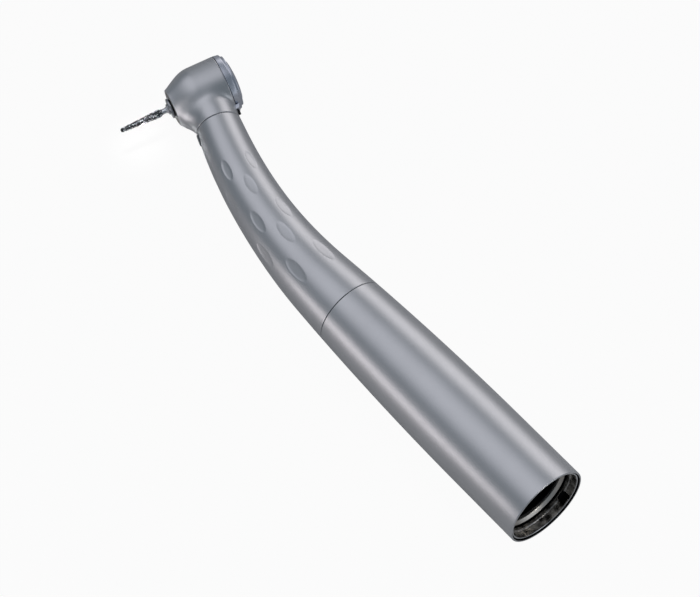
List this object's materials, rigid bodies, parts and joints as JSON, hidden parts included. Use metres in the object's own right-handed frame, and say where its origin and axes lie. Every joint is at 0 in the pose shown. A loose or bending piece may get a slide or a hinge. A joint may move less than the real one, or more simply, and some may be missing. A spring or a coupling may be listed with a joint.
{
  "type": "dental turbine handpiece",
  "caption": "Bent air turbine handpiece with a dimpled grip, push-button head, ball-bearing rotor and diamond bur.",
  "frame": {"origin": "centre of the coupling socket's mouth, where the main bore starts", "axes": "+X leaves the socket along the straight rear sleeve, the bend lies in the XY plane with the head towards -X and +Y, the bur points towards -Y, and +Z is across the bend"},
  "size_m": [0.1123, 0.025, 0.016],
  "materials": {
    "satin_steel": "fine satin blasted stainless steel",
    "polished_steel": "polished stainless steel with a faint blue cast",
    "machined_steel": "turned steel",
    "dark_steel": "dark anodised bore",
    "tube_steel": "bright drawn steel",
    "glass_rod": "clear glass rod",
    "window_glass": "dark polished window",
    "black_steel": "blackened steel",
    "seal_rubber": "matt black seal rubber",
    "bearing_steel": "ground and polished bearing steel",
    "cage_plastic": "brown laminated cage",
    "ball_ceramic": "polished ceramic",
    "spindle_steel": "ground steel",
    "impeller_alloy": "anodised alloy with a gold tint",
    "diamond_grit": "diamond grit bonded in nickel, rough"
  },
  "bodies": {
    "shell": {"rear_sleeve": "satin_steel", "front_sleeve": "satin_steel", "joint_ring": "machined_steel", "socket_body": "dark_steel", "entry_liner": "machined_steel", "detent_ring": "polished_steel", "tube_plate": "machined_steel", "drive_air_tube": "tube_steel", "water_tube": "tube_steel", "chip_air_tube": "tube_steel", "light_guide": "glass_rod", "light_window": "window_glass", "head_housing": "satin_steel", "spray_ring": "machined_steel", "head_cap": "polished_steel", "cap_lock": "black_steel", "button_spring": "tube_steel", "preload_ring": "tube_steel", "front_o_ring": "seal_rubber", "rear_o_ring": "seal_rubber", "front_outer_ring": "bearing_steel", "rear_outer_ring": "bearing_steel"},
    "rotor": {"spindle": "spindle_steel", "impeller": "impeller_alloy", "front_inner_ring": "bearing_steel", "rear_inner_ring": "bearing_steel", "chuck_collet": "spindle_steel", "chuck_spring": "tube_steel"},
    "front_ball_set": {"front_cage": "cage_plastic", "front_balls": "ball_ceramic"},
    "rear_ball_set": {"rear_cage": "cage_plastic", "rear_balls": "ball_ceramic"},
    "plunger": {"chuck_plunger": "spindle_steel"},
    "button": {"push_button": "polished_steel"},
    "bur": {"bur_shank": "bearing_steel", "bur_diamond": "diamond_grit"}
  },
  "joints": [
    {"name": "rotor_spin", "type": "hinge", "parent": "shell", "child": "rotor", "pos_m": [-0.10287, 0.01021, 0], "axis": [0.2588, 0.9659, 0], "continuous": true},
    {"name": "front_cage_spin", "type": "hinge", "parent": "shell", "child": "front_ball_set", "pos_m": [-0.10287, 0.01021, 0], "axis": [0.2588, 0.9659, 0], "continuous": true},
    {"name": "rear_cage_spin", "type": "hinge", "parent": "shell", "child": "rear_ball_set", "pos_m": [-0.10287, 0.01021, 0], "axis": [0.2588, 0.9659, 0], "continuous": true},
    {"name": "button_press", "type": "slide", "parent": "shell", "child": "button", "axis": [-0.2588, -0.9659, 0], "range_m": [0, 0.0006], "stiffness_N_per_m": 3000, "deforming": ["button_spring"]},
    {"name": "plunger_slide", "type": "slide", "parent": "rotor", "child": "plunger", "axis": [-0.2588, -0.9659, 0], "range_m": [0, 0.0006], "deforming": ["chuck_spring"]},
    {"name": "bur_pull", "type": "slide", "parent": "rotor", "child": "bur", "axis": [-0.2588, -0.9659, 0], "range_m": [0, 0.008]}
  ],
  "couplings": [
    {"joint": "front_cage_spin", "follows": "rotor_spin", "ratio": 0.395},
    {"joint": "rear_cage_spin", "follows": "rotor_spin", "ratio": 0.395},
    {"joint": "plunger_slide", "follows": "button_press", "ratio": 1}
  ]
}
